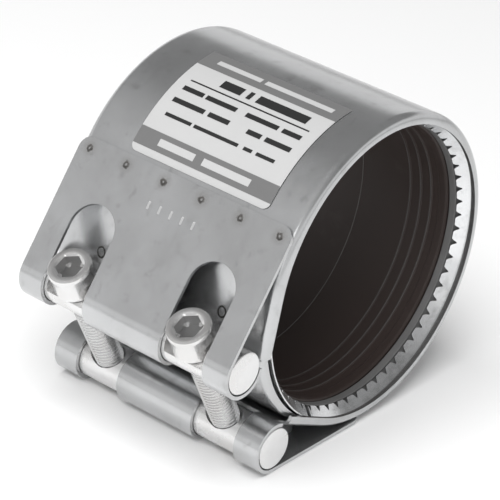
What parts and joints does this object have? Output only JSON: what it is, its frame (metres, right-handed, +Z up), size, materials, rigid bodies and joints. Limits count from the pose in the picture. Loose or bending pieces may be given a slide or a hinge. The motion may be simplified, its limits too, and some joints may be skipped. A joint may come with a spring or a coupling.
{
  "type": "grip pipe coupling",
  "caption": "Wide rolled stainless coupling with inward lips, toothed grip rings and a rubber sleeve, closed by socket-head screws between round bars.",
  "frame": {"origin": "centre of the pipe bore at the middle of the coupling's width", "axes": "+Y along the pipe, +Z up with the flat lower strap plate underneath, the casing's gap and the two bars on the -X side"},
  "size_m": [0.1584, 0.108, 0.1327],
  "materials": {
    "stainless_sheet": "satin rolled stainless sheet with bright sheared edges",
    "bridge_sheet": "bright stainless strip",
    "bar_steel": "turned stainless bar",
    "screw_steel": "stainless cap screw with a knurled head",
    "rubber": "matt black moulded rubber",
    "grip_strip": "hardened spring strip",
    "backing_plastic": "grey ring",
    "label_film": "blank pale label with two grey bands"
  },
  "bodies": {
    "coupling": {"casing": "stainless_sheet", "sealing_sleeve": "rubber", "grip_ring_front": "grip_strip", "grip_ring_rear": "grip_strip", "backing_ring_front": "backing_plastic", "backing_ring_rear": "backing_plastic"},
    "free_end": {"bridge_plate": "bridge_sheet", "label": "label_film"},
    "upper_bar": {"upper_bar": "bar_steel"},
    "lower_bar": {"lower_bar": "bar_steel"},
    "screw_front": {"screw_front": "screw_steel"},
    "screw_rear": {"screw_rear": "screw_steel"}
  },
  "joints": [
    {"name": "closing", "type": "hinge", "parent": "coupling", "child": "free_end", "pos_m": [0.05731, 0, 0.03014], "axis": [0, -1, 0], "range_deg": [0, 4.07], "deforming": ["casing", "sealing_sleeve", "grip_ring_front", "grip_ring_rear", "backing_ring_front", "backing_ring_rear", "bridge_plate"]},
    {"name": "upper_bar_roll", "type": "hinge", "parent": "free_end", "child": "upper_bar", "pos_m": [-0.07826, 0, -0.014], "axis": [0, -1, 0], "range_deg": [-2.2, 0.1]},
    {"name": "lower_bar_roll", "type": "hinge", "parent": "coupling", "child": "lower_bar", "pos_m": [-0.05588, 0, -0.05655], "axis": [0, -1, 0], "range_deg": [-0.1, 2.2]},
    {"name": "screw_front_turn", "type": "hinge", "parent": "upper_bar", "child": "screw_front", "pos_m": [-0.07826, -0.0305, -0.014], "axis": [0.4655, 0, -0.885], "range_deg": [-5, 2070]},
    {"name": "screw_rear_turn", "type": "hinge", "parent": "upper_bar", "child": "screw_rear", "pos_m": [-0.07826, 0.0305, -0.014], "axis": [0.4655, 0, -0.885], "range_deg": [-5, 2070]}
  ],
  "couplings": [
    {"joint": "upper_bar_roll", "follows": "closing", "ratio": -0.5},
    {"joint": "lower_bar_roll", "follows": "closing", "ratio": 0.5},
    {"joint": "screw_front_turn", "follows": "closing", "ratio": 505.98},
    {"joint": "screw_rear_turn", "follows": "closing", "ratio": 505.98}
  ]
}
